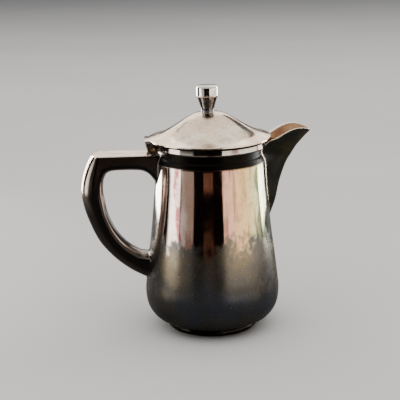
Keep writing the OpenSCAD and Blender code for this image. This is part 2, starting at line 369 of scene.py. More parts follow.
def body_silver():
    """Body: cream to peach above in a left-to-right ramp that is partly toning and partly painted
    reflection, brown streaks, and a darker deep olive grey below.
    """
    lower_dark_low_z, lower_dark_high_z = 0.0455, 0.0535
    groove_low_z, groove_high_z = 0.0862, 0.0945
    red_run_x = -0.0188
    s = Shader("silver_body")
    wide = s.noise(0.022, detail=3, rough=0.6, distort=0.5)
    # Painted reflection: the upper colour runs left to right from cream through dark brown to olive and
    # pale grey, partly the silver's toning and partly the room's reflections painted in.
    painted_reflection_across = s.math("ADD", s.fade_line(s.x, -0.03, 0.03), s.fade_line(wide, 0.2, 0.8, -0.035, 0.035))
    upper_tone_and_painted_reflections = s.ramp(painted_reflection_across, [
        (0.0, (0.78, 0.74, 0.68)), (0.1, (0.72, 0.6, 0.54)), (0.21, (0.68, 0.55, 0.49)),
        (0.27, (0.38, 0.25, 0.19)), (0.46, (0.32, 0.16, 0.11)), (0.6, (0.54, 0.3, 0.21)),
        (0.74, (0.6, 0.4, 0.18)),
        (0.88, (0.52, 0.57, 0.32)), (1.0, (0.74, 0.76, 0.68))])
    drift = s.fade_line(s.noise(0.012, detail=4, shift=9.4), 0.2, 0.8, -0.0012, 0.0012)
    run = s.math("ADD", s.math("ADD", s.x, drift), -red_run_x)
    run = s.fade(s.math("ABSOLUTE", run), 0.0016, 0.0005)
    run = s.math("MULTIPLY", run, s.fade(s.noise(0.005, detail=4, shift=2.5), 0.35, 0.55, 0.25, 0.9))
    run = s.math("MULTIPLY", run, s.fade(s.y, -0.005, -0.015))
    upper_tone_and_painted_reflections = s.mix(run, upper_tone_and_painted_reflections, (0.24, 0.04, 0.05))
    cloud = s.noise(0.007, detail=4, rough=0.65, shift=6.6)
    upper_tone_and_painted_reflections = s.mix(s.fade(cloud, 0.48, 0.7, 0, 0.6), upper_tone_and_painted_reflections, (0.34, 0.2, 0.14))
    streak = s.noise(0.0032, detail=4, stretch=(1, 1, 14), shift=0.37)
    upper_tone_and_painted_reflections = s.mix(s.fade(streak, 0.48, 0.66, 0, 0.7), upper_tone_and_painted_reflections, (0.16, 0.07, 0.05))
    # Darker olive grey below a ragged line about 0.045 to 0.054 m up.
    dark = s.ramp(s.noise(0.024, detail=4, shift=5.2), [
        (0.3, (0.11, 0.12, 0.145)), (0.5, (0.145, 0.132, 0.115)), (0.68, (0.21, 0.17, 0.11))])
    edge = s.noise(0.008, detail=6, rough=0.65, stretch=(1, 1, 1.5), shift=2.2)
    ragged = s.math("ADD", s.z, s.fade(edge, 0.25, 0.75, -0.008, 0.008))
    colour = s.mix(s.fade(ragged, lower_dark_low_z, lower_dark_high_z), dark, upper_tone_and_painted_reflections)
    # Painted shade: the recessed neck between the shoulder and the collar is painted near black.
    groove_painted_shade = s.math("MULTIPLY", s.fade(s.z, groove_low_z, groove_low_z + 0.001),
                    s.fade(s.z, groove_high_z, groove_high_z - 0.0015))
    colour = s.mix(groove_painted_shade, colour, (0.006, 0.005, 0.004))
    inside_r = NECK_R - WALL - 0.0003
    inside = s.fade(radius(s), inside_r + 0.0001, inside_r - 0.0001)
    colour = s.mix(s.math("MULTIPLY", inside, 0.6), colour, (0.3, 0.23, 0.17))
    dust = s.math("MULTIPLY", s.specks(0.003, 0.035), s.fade(s.z, 0.06, 0.04, 0, 0.6))
    colour = s.mix(dust, colour, (0.8, 0.75, 0.68))
    haze = s.math("ADD", s.fade(ragged, 0.054, 0.044, 0, 0.2), s.math("MULTIPLY", groove_painted_shade, 0.3))
    return s.metal(*silver_finish(s, colour, 0.03, 0.11, haze=haze))


def foot_silver():
    """Foot ring: almost black, with brown patches."""
    s = Shader("silver_foot")
    tone = s.ramp(s.noise(0.01, detail=4), [(0.35, (0.02, 0.018, 0.016)), (0.7, (0.07, 0.055, 0.04))])
    return s.metal(*silver_finish(s, tone, 0.18, 0.32, worn=0.15))


def collar_silver():
    """Collar: a bright band, with painted shade in black below it and along its top, where it meets the
    body and the lid's rim.
    """
    band_low_z, band_high_z = COLLAR_LOW_Z + 0.0002, RIM_Z - 0.0007
    s = Shader("silver_collar")
    tone = s.ramp(s.noise(0.012, detail=4, shift=8.8), [
        (0.36, (0.2, 0.14, 0.13)), (0.5, (0.5, 0.44, 0.38)), (0.72, (0.5, 0.51, 0.5))])
    # Painted shade: black along the collar's foot and along its top under the lid's rim.
    gap_painted_shade = s.math("MAXIMUM", s.fade(s.z, band_low_z + 0.0005, band_low_z),
                  s.fade(s.z, band_high_z, band_high_z + 0.0003))
    colour = s.mix(gap_painted_shade, tone, (0.008, 0.007, 0.006))
    return s.metal(*silver_finish(s, colour, 0.04, 0.12))


def lid_silver():
    """Lid: pale and softly mottled, with painted shade in a dark line along its rim and underneath."""
    s = Shader("silver_lid")
    tone = s.ramp(s.noise(0.014, detail=5, rough=0.62, distort=0.6), [
        (0.3, (0.6, 0.45, 0.33)), (0.45, (0.76, 0.59, 0.43)), (0.58, (0.86, 0.74, 0.57)),
        (0.72, (0.76, 0.69, 0.62))])
    blush = s.fade(s.noise(0.0045, detail=5, rough=0.65, shift=4.4), 0.48, 0.68, 0, 0.5)
    colour = s.mix(blush, tone, (0.46, 0.33, 0.3))
    # Painted shade: the rim's lower edge and the underside near it are painted near black.
    rim = s.math("MULTIPLY", s.fade(s.z, LID_Z + 0.00075, LID_Z + 0.0005), s.fade(radius(s), 0.029, 0.03))
    colour = s.mix(s.math("MULTIPLY", rim, 0.92), colour, (0.018, 0.015, 0.013))
    return s.metal(*silver_finish(s, colour, 0.1, 0.22, dented=0.25))


def handle_silver():
    """Handle: pale on its top and back, its sides and lower limb painted dark brown to black as the dark
    reflections they show.
    """
    s = Shader("silver_handle")
    tone = s.ramp(s.noise(0.02, detail=4, distort=0.4), [
        (0.3, (0.52, 0.38, 0.3)), (0.5, (0.66, 0.52, 0.43)), (0.7, (0.74, 0.66, 0.58))])
    # Painted reflection: the sides, and the limb below about 0.06 to 0.075 m, are painted near black for
    # the dark room they reflect; the flat top is kept pale.
    side = s.fade(s.math("ABSOLUTE", s.y), 0.0045, 0.0073)
    low = s.fade(s.z, 0.075, 0.06)
    dark = s.math("MAXIMUM", s.math("MULTIPLY", side, 0.97), s.math("MULTIPLY", low, 0.85))
    top = s.fade(s.z, TOP_Z - 0.001, TOP_Z - 0.0004)
    dark = s.math("MULTIPLY", dark, s.math("SUBTRACT", 1.0, top))
    colour = s.mix(dark, tone, (0.016, 0.0145, 0.0145))
    return s.metal(*silver_finish(s, colour, 0.08, 0.2, worn=0.4))


def spout_silver():
    """Spout's outside: dull and dark, with an olive cast."""
    s = Shader("silver_spout")
    outer = s.ramp(s.noise(0.018, detail=4, shift=2.9), [
        (0.32, (0.045, 0.047, 0.042)), (0.52, (0.06, 0.056, 0.042)), (0.7, (0.12, 0.1, 0.052))])
    return s.metal(*silver_finish(s, outer, 0.26, 0.4, worn=0.15))


def channel_silver():
    """Spout's inside: copper brown."""
    s = Shader("silver_spout_channel")
    tone = s.ramp(s.noise(0.012, detail=4, shift=6.1), [
        (0.3, (0.17, 0.075, 0.04)), (0.5, (0.27, 0.155, 0.085)), (0.7, (0.4, 0.28, 0.17))])
    return s.metal(*silver_finish(s, tone, 0.2, 0.34))


def lip_silver():
    """Spout's edge: rubbed pale and dull."""
    s = Shader("silver_spout_lip")
    tone = s.ramp(s.noise(0.006, detail=4, shift=3.6), [
        (0.35, (0.86, 0.74, 0.6)), (0.65, (0.95, 0.88, 0.78))])
    return s.metal(*silver_finish(s, tone, 0.4, 0.55))


def hinge_silver():
    """Hinge lugs and knob screw: very dark, partly tarnish and partly painted shade from under the lid,
    with paler patches.
    """
    s = Shader("silver_hinge")
    tone = s.ramp(s.noise(0.004, detail=4), [(0.35, (0.03, 0.025, 0.02)), (0.7, (0.22, 0.18, 0.14))])
    return s.metal(*silver_finish(s, tone, 0.18, 0.34))


def leaf_silver():
    """Hinge leaf: its edges and its back are rubbed bright, its inside is dark."""
    inside_x, inside_z = -0.0322, 0.0972
    s = Shader("silver_leaf")
    tone = s.ramp(s.noise(0.004, detail=4, shift=1.9), [
        (0.35, (0.5, 0.43, 0.38)), (0.7, (0.72, 0.66, 0.6))])
    inside = s.math("MULTIPLY", s.fade(s.x, inside_x, inside_x + 0.0005),
                    s.fade(s.z, inside_z, inside_z - 0.0004))
    colour = s.mix(s.math("MULTIPLY", inside, 0.9), tone, (0.03, 0.026, 0.022))
    return s.metal(*silver_finish(s, colour, 0.12, 0.24))


def pin_brass():
    """Hinge pin: worn bare brass."""
    s = Shader("brass_pin")
    tone = s.ramp(s.noise(0.0012, detail=4), [(0.35, (0.25, 0.13, 0.05)), (0.6, (0.6, 0.38, 0.16))])
    return s.metal(*silver_finish(s, tone, 0.25, 0.42))


def knob_silver():
    """Knob: a pale head on a waist painted dark as the dark reflection it shows."""
    waist_z = 0.1191
    s = Shader("silver_knob")
    tone = s.ramp(s.noise(0.005, detail=4), [(0.3, (0.42, 0.38, 0.34)), (0.65, (0.68, 0.64, 0.58))])
    # Painted reflection: below the head the knob is painted dark grey.
    waist_painted_reflection = s.fade(s.z, waist_z, waist_z - 0.0006)
    colour = s.mix(s.math("MULTIPLY", waist_painted_reflection, 0.88), tone, (0.1, 0.1, 0.105))
    return s.metal(*silver_finish(s, colour, 0.04, 0.12))


def keep(obj, body, slot, material, *nodes):
    """Gives a finished piece its material and body, and hides the CAD nodes that it stands for. The slot
    is not used.
    """
    obj.data.materials.append(material)
    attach(obj, body)
    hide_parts(*nodes)
    return obj


# ---- body, foot ring and collar -------------------------------------------------
# The outline of the body as (radius, height)
BELLY = [(0.0226, FOOT_H), (0.0294, 0.0062), (0.0332, 0.0114), (0.0344, 0.0185), (0.0338, 0.0265),
         (0.0324, 0.038), (0.0308, 0.05), (0.0294, 0.063), (0.0283, 0.075), (0.0279, 0.0866)]
SHOULDER = [(NECK_R + 0.0007, 0.089, 0.0008), (NECK_R + 0.0001, 0.0899, 0.0006),
            (NECK_R, 0.0912, 0.0005)]
FLOOR_Z = FOOT_H + WALL
# The opening behind the spout: its lower end, and half its width there and from the collar up
THROAT_LOW_Z = 0.066
THROAT_LOW_Y = 0.0024
THROAT_Y = 0.0082
body_line = smooth(BELLY, 12)[:-1] + rounded([(*BELLY[-1], 0), *SHOULDER, (NECK_R, RIM_Z, 0)],
                                             closed=False)
body_z = np.array([p[1] for p in body_line])
body_radius = np.array([p[0] for p in body_line])


def body_r(z):
    """Radius of the body's outside at a height."""
    return float(np.interp(z, body_z, body_radius))


def body_piece():
    """The spun body, with a rounded lip and the opening behind the spout."""
    inner = [(p[0] - WALL, p[1]) for p in body_line if p[1] > FLOOR_Z + 0.0006]
    lip = WALL / 2
    top = [(NECK_R - lip + lip * math.cos(a), RIM_Z - lip + lip * math.sin(a))
           for a in np.linspace(0, math.pi, 9)]
    outline = [(0, FOOT_H)] + body_line[:-1] + top + inner[-2::-1] + [(0, FLOOR_Z)]
    body = revolve("body", outline, segments=256)
    above = RIM_Z + 0.001
    throat = [(-THROAT_LOW_Y, THROAT_LOW_Z), (THROAT_LOW_Y, THROAT_LOW_Z), (THROAT_Y, COLLAR_LOW_Z),
              (THROAT_Y, above), (-THROAT_Y, above), (-THROAT_Y, COLLAR_LOW_Z)]
    cutter = prism("throat", throat, 0, 0.04, 0)
    cutter.data.transform(Matrix.Rotation(-math.pi / 2, 4, "Z"))
    combine(body, cutter, "DIFFERENCE")
    return wander(body, 0.00004, 0.016, 1.7)


def foot_piece():
    inner_r = 0.0206
    return revolve("foot_ring_turned", rounded([
        (inner_r, 0.0004, 0.0002), (inner_r + 0.0006, 0, 0.0003), (FOOT_R - 0.0005, 0, 0.0004),
        (FOOT_R, 0.0006, 0.0005), (FOOT_R, FOOT_H - 0.0009, 0.0005),
        (FOOT_R - 0.0006, FOOT_H - 0.0001, 0.0004), (inner_r, FOOT_H - 0.0001, 0.0002)]),
        segments=192)


def collar_piece():
    """Moulding round the neck, open at the spout and relieved for the hinge's knuckles."""
    gap = math.radians(20.5)
    outline = rounded([
        (NECK_R - 0.0002, COLLAR_LOW_Z, 0), (NECK_R + 0.0008, COLLAR_LOW_Z, 0.0003),
        (COLLAR_R - 0.0003, COLLAR_LOW_Z + 0.0004, 0.0005), (COLLAR_R, COLLAR_LOW_Z + 0.001, 0.0006),
        (COLLAR_R - 0.0002, RIM_Z - 0.0006, 0.0005), (COLLAR_R - 0.0006, RIM_Z, 0.0005),
        (NECK_R - 0.0002, RIM_Z, 0)], steps=6)
    collar = wander(revolve("collar_moulding", outline, 200, gap, TAU - 2 * gap), 0.00003, 0.014, 4.2)
    relief = hinge_round("relief", KNUCKLE_R + HINGE_CLEAR, -LEAF_Y, LEAF_Y, 0)
    return combine(collar, relief, "DIFFERENCE")


# ---- spout ----------------------------------------------------------------------
# Rows from the joint at its foot to the tip: edge x, half width, edge z, ridge x, ridge z.
# An edge x of 0 means that the edge lies on the body.
SPOUT_ROWS = [
    (0, 0.0009, 0.0576, 0.0303, 0.057), (0, 0.0032, 0.066, 0.0331, 0.0651),
    (0, 0.0056, 0.076, 0.0351, 0.0744), (0, 0.0076, 0.086, 0.0381, 0.0832),
    (0, 0.009, 0.092, 0.0408, 0.088), (0.0276, 0.0096, 0.0964, 0.0436, 0.0923),
    (0.032, 0.0104, 0.0982, 0.0462, 0.0954), (0.0366, 0.0104, 0.1009, 0.0483, 0.0977),
    (0.041, 0.0096, 0.1025, 0.0496, 0.099), (0.045, 0.0076, 0.1026, 0.0503, 0.0996),
    (0.0483, 0.0046, 0.1017, 0.0507, 0.1), (0.0504, 0.0013, 0.1007, 0.0509, 0.1002)]
EDGE_SUNK = 0.0004
RIDGE_ROUND = 0.28
# Slope of vee at the edge
VEE_SLOPE = 1.27
SOLDER_R = 0.0009
# Strips across the sheet, strips in half of its rounded edge, and how many strips more look rubbed
ACROSS = 40
LIP_STEPS = 5
LIP_SPREAD = 3


def vee(v):
    """Share of the way from ridge to edge, rounded at the ridge."""
    reach = math.hypot(1, RIDGE_ROUND)
    return (math.hypot(v, RIDGE_ROUND) - RIDGE_ROUND) / (reach - RIDGE_ROUND)


def solder(clear):
    """How far a concave solder joint spreads along the body at that clearance from it."""
    gap = min(max(clear, 0.0), SOLDER_R)
    return SOLDER_R - math.sqrt(SOLDER_R ** 2 - (SOLDER_R - gap) ** 2)


def spout_point(row, v):
    """Point of a row, with v from -1 at one edge through 0 at the ridge to 1 at the other."""
    x, w, z, ridge_x, ridge_z = row
    share = vee(v)
    return np.array((ridge_x + (x - ridge_x) * share, w * v, ridge_z + (z - ridge_z) * share))


def spout_outer(row, v):
    """Point on the outside, spread along the body where it is soldered on."""
    p = spout_point(row, v)
    radius = math.hypot(p[0], p[1])
    spread = solder(radius - body_r(p[2])) / radius
    angle = math.atan2(p[1], p[0]) + math.copysign(spread, v) * min(1, abs(v) * 4)
    return np.array((radius * math.cos(angle), radius * math.sin(angle), p[2]))


def spout_ring(row):
    """Section of the bent sheet: outside, rounded edge, inside and the other rounded edge."""
    x, w, z, ridge_x, ridge_z = row
    depth = math.hypot(x - ridge_x, z - ridge_z)
    share = min(0.5, WALL / depth)
    inside = (x, w * w / (w + WALL), z,
              ridge_x + (x - ridge_x) * share, ridge_z + (z - ridge_z) * share)
    half = (w - inside[1]) / 2
    end = 1 - min(0.3, half / math.hypot(VEE_SLOPE * depth, w))
    steps = [end * math.sin(math.pi / 2 * (2 * k / ACROSS - 1)) for k in range(ACROSS + 1)]
    outer = [spout_outer(row, v) for v in steps]
    inner = [spout_point(inside, v) for v in reversed(steps)]

    def lip(a, b, side):
        rise = 0.5 * (spout_point(row, side) - spout_point(row, side * end)
                      + spout_point(inside, side) - spout_point(inside, side * end))
        middle, arm = (a + b) / 2, (a - b) / 2
        return [middle + arm * math.cos(t) + rise * math.sin(t)
                for t in np.linspace(0, math.pi, 2 * LIP_STEPS + 1)[1:-1]]

    right, left = lip(outer[-1], inner[0], 1), lip(inner[-1], outer[0], -1)
    return left[LIP_STEPS - 1:] + outer + right + inner + left[:LIP_STEPS - 1]


def spout_piece():
    """The beak spout. Its materials are 0 outside, 1 in the channel and 2 along the edge."""
    flat = []
    for x, w, z, ridge_x, ridge_z in SPOUT_ROWS:
        edge_x = x or math.sqrt((body_r(z) - EDGE_SUNK) ** 2 - w * w)
        flat.append((edge_x, w, z, ridge_x, ridge_z))
    edge = LIP_STEPS + LIP_SPREAD
    between = ACROSS - 2 * LIP_SPREAD
    finish = [2] * edge + [0] * between + [2] * (2 * edge) + [1] * between + [2] * edge
    return loft("spout_sheet", [spout_ring(row) for row in smooth(flat, 7)], 50, finish)


# ---- handle ---------------------------------------------------------------------
# Stations from the neck round to the lower joint: outer crest x, z, inner crest x, z, how far the
# sides lie behind the outer crest, and how far they lie above the inner one. The last two are shares
# of the thickness, but along the flat top the first is a distance in x.
TOP_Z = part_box("handle_near_half")[1].z
CORNER_X = -0.0595
ARM_ROWS = [
    (-0.0266, TOP_Z, -0.0276, 0.0756, 0, 0.24), (-0.0286, TOP_Z, -0.0292, 0.078, 0, 0.26),
    (-0.031, TOP_Z, -0.0314, 0.0806, 0, 0.3), (-0.0345, TOP_Z, -0.0345, 0.0823, 0, 0.38),
    (-0.04, TOP_Z, -0.039, 0.0828, 0, 0.42), (-0.048, TOP_Z, -0.0455, 0.0829, 0.0004, 0.42),
    (-0.054, TOP_Z, -0.0502, 0.0826, 0.002, 0.38), (CORNER_X, TOP_Z, -0.0524, 0.0814, 0.0035, 0.34)]
LIMB_ROWS = [
    (-0.062, 0.0866, -0.0536, 0.0792, 0.54, 0.3), (-0.0644, 0.0794, -0.0543, 0.0758, 0.62, 0.27),
    (-0.0654, 0.0725, -0.0544, 0.0715, 0.66, 0.26), (-0.0645, 0.0652, -0.0537, 0.0668, 0.68, 0.25),
    (-0.062, 0.0568, -0.0525, 0.0606, 0.7, 0.24), (-0.0572, 0.0462, -0.0487, 0.0517, 0.7, 0.24),
    (-0.05, 0.0374, -0.0432, 0.0448, 0.68, 0.25), (-0.0422, 0.031, -0.0368, 0.0404, 0.64, 0.26),
    (-0.0364, 0.0276, -0.0336, 0.0397, 0.6, 0.27), (-0.0339, 0.0264, -0.0323, 0.0394, 0.58, 0.27)]
# Radius of the flat top's edges
EDGE_R = 0.0006
# Depth of the seam between the halves, its share of the half width, and how much of it the back shows
SEAM = 0.00009
SEAM_SHARE = 0.03
OUTER_SEAM = 0.35
CROWN_STEPS = 20
SIDE_STEPS = 10
# Where the rings of a solder joint lie between the body and the next full section
SOLDER_RINGS = (0, 0.03, 0.08, 0.16, 0.28, 0.45, 0.7)


def arm_row(ox, oz, ix, iz, out, under):
    """A row for smoothing: outer crest, inner crest, outer crown, inner crown and edge radius."""
    return (ox, oz, ix, iz, out, 0, (ox - ix) * under, (oz - iz) * under, EDGE_R)


def limb_row(ox, oz, ix, iz, out, under):
    """The same for a station of the curved limb."""
    return (ox, oz, ix, iz, (ix - ox) * out, (iz - oz) * out, (ox - ix) * under, (oz - iz) * under, 0)


def crown(v):
    """Depth of a crowned edge across the width, 0 at the crest and 1 at the side."""
    return 1 - math.sqrt(max(0.0, 1 - v ** 2.2))


def corner_depth(v, radius):
    """Depth of a flat face's edge rounded to a radius, across a half width."""
    if radius < 1e-6:
        return 0
    start = 1 - radius / HANDLE_HALF_W
    t = max(0.0, (v - start) / (1 - start))
    return radius * (1 - math.sqrt(max(0.0, 1 - t * t)))


def half_section(o, i, out, under, w, edge, seam):
    """Half of a section from crest to crest round the near side."""
    down = (i - o) / np.linalg.norm(i - o)
    turns = [math.sin(math.pi / 2 * k / CROWN_STEPS) for k in range(CROWN_STEPS + 1)]
    line = []
    for v in turns:
        sink = seam * OUTER_SEAM * max(0.0, 1 - v / SEAM_SHARE)
        line.append((w * v, o + out * crown(v) + down * (corner_depth(v, edge) + sink)))
    top, low = line[-1][1], i + under
    for k in range(1, SIDE_STEPS):
        line.append((w, top + (low - top) * k / SIDE_STEPS))
    for v in reversed(turns):
        line.append((w * v, i + under * crown(v) - down * seam * max(0.0, 1 - v / SEAM_SHARE)))
    return [np.array((q[0], -y, q[1])) for y, q in line]


def handle_ring(row):
    """One section of the near half: the outside of the pressing from crest to crest, then its inside."""
    o, i, out, under, edge = row[0:2], row[2:4], row[4:6], row[6:8], row[8]
    inward = (i - o) / np.linalg.norm(i - o) * HANDLE_WALL
    outside = half_section(o, i, out, under, HANDLE_HALF_W, edge, SEAM)
    inside = half_section(o + inward, i - inward, out * 0.9, under * 0.8,
                          HANDLE_HALF_W - HANDLE_WALL, 0, 0)
    return outside + inside[::-1]


def on_body(p):
    """Slides a point along X until it is on the body."""
    return np.array((-math.sqrt(body_r(p[2]) ** 2 - p[1] ** 2), p[1], p[2]))


def soldered(rings):
    """Rings of one end, the first of them on the body, closed up to it with a concave solder joint."""
    foot = [on_body(p) for p in rings[0]]
    half = len(foot) // 2
    middle = sum(foot) / len(foot)
    result = []
    for t in SOLDER_RINGS:
        ring = []
        for k, (a, b) in enumerate(zip(foot, rings[1])):
            p = a + (b - a) * t
            radius = math.hypot(p[0], p[1])
            if k < half:
                away = np.array((0, p[1], p[2] - middle[2]))
                p = p + away / np.linalg.norm(away) * solder(radius - body_r(p[2]))
                p[0] = -math.sqrt(radius ** 2 - p[1] ** 2)
            ring.append(p)
        result.append(ring)
    return result


def handle_half():
    """The near stamping: flat arm, rounded corner and curved limb, soldered to the body at both ends."""
    arm = smooth([arm_row(*row) for row in ARM_ROWS], 6)
    limb = smooth([arm[-1]] + [limb_row(*row) for row in LIMB_ROWS], 6)
    turn = [(1 - t) ** 2 * arm[-2] + 2 * t * (1 - t) * arm[-1] + t * t * limb[1]
            for t in np.linspace(0, 1, 7)]
    rings = [handle_ring(row) for row in arm[:-2] + turn + limb[2:]]
    start = soldered([rings[0], rings[3]])
    end = soldered([rings[-1], rings[-4]])
    return loft("handle_half_near", start + rings[3:-3] + end[::-1], sharp_deg=42)


# ---- hinge ----------------------------------------------------------------------
def hinge_round(name, radius, y0, y1, bore):
    """Turned ring about the hinge axis, from y0 to y1, with soft edges."""
    soft = 0.0002
    ring = revolve(name, rounded([(bore, -y1, soft / 2), (radius, -y1, soft), (radius, -y0, soft),
                                  (bore, -y0, soft / 2)]), segments=64)
    return along_y(ring)


def lug_piece():
    """The near lug: cheek, barrel, and the foot that is soldered to the handle."""
    cheek_in = LEAF_Y + 0.00025
    lug = hinge_round("hinge_lug_near_cast", LUG_CHEEK_R, -LUG_FACE_Y, -cheek_in, PIN_R)
    combine(lug, hinge_round("barrel", KNUCKLE_R, -cheek_in - 0.0003, -KNUCKLE_Y, PIN_R), "UNION")
    back, front = HINGE_X - 0.0014, HINGE_X + 0.0024
    foot = prism("foot", [(back, TOP_Z - 0.0001), (front, TOP_Z - 0.0001), (front, HINGE_Z - 0.0006),
                          (HINGE_X + PIN_R + 0.0004, HINGE_Z - 0.0006),
                          (HINGE_X, HINGE_Z - PIN_R - 0.0003), (back, HINGE_Z - 0.0016)],
                 -LUG_FACE_Y + 0.0001, -KNUCKLE_Y - 0.0004, 0.0002)
    return combine(lug, foot, "UNION")


def pin_piece():
    """The pin, with domed ends."""
    half = LUG_FACE_Y - 0.0003
    dome = 0.00025
    return along_y(revolve("hinge_pin_brass", rounded([
        (0, -half, 0), (PIN_R * 0.6, -half + dome * 0.2, 0.001), (PIN_R, -half + dome, 0.0003),
        (PIN_R, half - dome, 0.0003), (PIN_R * 0.6, half - dome * 0.2, 0.001), (0, half, 0)]),
        segments=64))


def leaf_piece():
    """The bent leaf on the lid's back, with the middle knuckle on a web."""
    back, low = -0.033, HINGE_Z - 0.0002
    flap = 0.0007
    outline = rounded([
        (HINGE_X + 0.0015, LID_Z + LID_WALL, 0), (back, LID_Z + LID_WALL, 0.0005),
        (HINGE_X - 0.00275, low, 0.0003), (HINGE_X - 0.00275 + flap, low, 0.0003),
        (back + flap + 0.0002, LID_Z, 0.0008), (HINGE_X + 0.0015, LID_Z, 0)])
    leaf = prism("hinge_leaf_bent", outline, -LEAF_Y, LEAF_Y, 0.0002)
    knuckle_y = KNUCKLE_Y - 0.0002
    web = prism("web", [(HINGE_X, HINGE_Z + KNUCKLE_R), (back + flap, HINGE_Z + KNUCKLE_R),
                        (HINGE_X - 0.0027, low), (HINGE_X - PIN_R - 0.0001, low)],
                -knuckle_y + 0.0001, knuckle_y - 0.0001, 0)
    combine(leaf, web, "UNION")
    combine(leaf, hinge_round("middle_knuckle", KNUCKLE_R, -knuckle_y, knuckle_y, PIN_R), "UNION")
    bore_r, reach = PIN_R + 0.00006, 0.01
    bore = along_y(revolve("bore", [(0, -reach), (bore_r, -reach), (bore_r, reach), (0, reach)],
                           segments=64))
    combine(leaf, bore, "DIFFERENCE")
    return on_lid(leaf)


# ---- lid, knob and what is under them -------------------------------------------
# The outline of the lid above its rim, as (radius, height)
LID_RISE = [(0.0036, 0.0133), (0.0065, 0.0129), (0.009, 0.0119), (0.0125, 0.0099),
            (0.0163, 0.0075), (0.0205, 0.005), (0.025, 0.0027), (LID_R, 0.0009)]
lid_line = [(p[0], p[1] + LID_Z) for p in smooth(LID_RISE, 10)]
LID_TOP_Z = lid_line[0][1]
BEZEL_R = 0.024
BEZEL_DROP = 0.0034
KNOB_R = 0.0057
KNOB_NECK_R = 0.0033
KNOB_H = 0.0133
KNOB_NECK_H = 0.0079
KNOB_BORE_H = 0.0064
WASHER_H = 0.0005
WASHER_Z = LID_TOP_Z - LID_WALL - WASHER_H
SCREW_H = 0.0072


def lid_piece():
    """The dome, with a rounded rim and the hole for the knob's screw."""
    edge = 0.0003
    rim = rounded([(*lid_line[-2], 0), (LID_R, LID_Z + LID_WALL, edge), (LID_R, LID_Z, edge),
                   (LID_R - 0.0012, LID_Z + 0.0001, 0)], closed=False)
    under = [(p[0], p[1] - LID_WALL) for p in lid_line if p[0] < LID_R - 0.0015]
    outline = ([(SCREW_HOLE_R, LID_TOP_Z)] + lid_line[:-2] + rim + under[::-1]
               + [(SCREW_HOLE_R, LID_TOP_Z - LID_WALL)])
    lid = wander(revolve("lid_dome", outline, segments=256), 0.00002, 0.016, 9.1)
    lid.data.transform(Matrix.Translation((-LID_BACK, 0, 0)))
    return on_lid(lid)


def bezel_piece():
    """The ring under the lid, with a small solder flange at its top."""
    inner = BEZEL_R - 0.0008
    flange = BEZEL_R + 0.0007
    low = LID_Z - BEZEL_DROP
    high = float(np.interp(BEZEL_R, [p[0] for p in lid_line], [p[1] for p in lid_line])) - LID_WALL
    ring = revolve("lid_centring_ring", rounded([
        (inner, low, 0.0002), (BEZEL_R, low, 0.0002), (BEZEL_R, high - 0.0006, 0.0003),
        (flange, high - 0.0002, 0.0002), (flange, high, 0), (inner, high, 0)]), segments=192)
    ring.data.transform(Matrix.Translation((-LID_BACK, 0, 0)))
    return on_lid(ring)


def knob_piece():
    """The turned knob: a neck that widens upwards, a head with soft edges, and the screw's bore."""
    neck = smooth([
        (KNOB_NECK_R + 0.0002, 0.0003), (KNOB_NECK_R, 0.0008), (KNOB_NECK_R + 0.0003, 0.0026),
        (KNOB_NECK_R + 0.0009, 0.0048), (KNOB_R - 0.0005, KNOB_NECK_H)], 6)
    head = rounded([
        (KNOB_R - 0.0005, KNOB_NECK_H, 0), (KNOB_R - 0.00035, KNOB_NECK_H + 0.0001, 0.0001),
        (KNOB_R - 0.0001, KNOB_NECK_H + 0.0004, 0.0003), (KNOB_R, KNOB_H - 0.0009, 0.0004),
        (KNOB_R - 0.0004, KNOB_H - 0.0002, 0.0005), (KNOB_R - 0.0011, KNOB_H - 0.0001, 0.0004),
        (0.003, KNOB_H, 0.001), (0, KNOB_H, 0)], steps=5, closed=False)
    bore = [(0, KNOB_BORE_H), (SCREW_R, KNOB_BORE_H), (SCREW_R, 0)]
    outline = [(KNOB_NECK_R + 0.0002, 0)] + neck[:-1] + head + bore
    knob = revolve("knob_turned", outline, segments=128)
    knob.data.transform(Matrix.Translation((-KNOB_BACK, 0, LID_TOP_Z)))
    return on_lid(knob)


def washer_piece():
    outer, top = 0.003, WASHER_Z + WASHER_H
    washer = revolve("knob_washer_flat", rounded([
        (SCREW_HOLE_R, WASHER_Z, 0.0001), (outer, WASHER_Z, 0.0002), (outer, top, 0.0001),
        (SCREW_HOLE_R, top, 0)]), segments=96)
    washer.data.transform(Matrix.Translation((-KNOB_BACK, 0, 0)))
    return on_lid(washer)


def screw_piece():
    """The slotted screw that holds the knob from inside, head down."""
    shank, head, head_h = SCREW_R - 0.00005, 0.0027, 0.0015
    top = WASHER_Z + SCREW_H
    screw = revolve("knob_screw_slotted", rounded([
        (0, WASHER_Z - head_h, 0), (head * 0.6, WASHER_Z - head_h * 0.95, 0.0006),
        (head, WASHER_Z - head_h * 0.5, 0.0006), (head, WASHER_Z, 0.0001), (shank, WASHER_Z, 0),
        (shank, top - 0.0003, 0.0001), (shank - 0.0003, top, 0), (0, top, 0)]), segments=96)
    reach, slot_low_z, slot_high_z = head + 0.001, WASHER_Z - 2 * head_h, WASHER_Z - 0.0008
    slot = [(-reach, slot_low_z), (reach, slot_low_z), (reach, slot_high_z), (-reach, slot_high_z)]
    combine(screw, prism("slot", slot, -0.0003, 0.0003, 0), "DIFFERENCE")
    screw.data.transform(Matrix.Translation((-KNOB_BACK, 0, 0)))
    return on_lid(screw)


# ---- the pieces -----------------------------------------------------------------
body_finish = body_silver()
lid_finish = lid_silver()
handle_finish = handle_silver()
hinge_finish = hinge_silver()

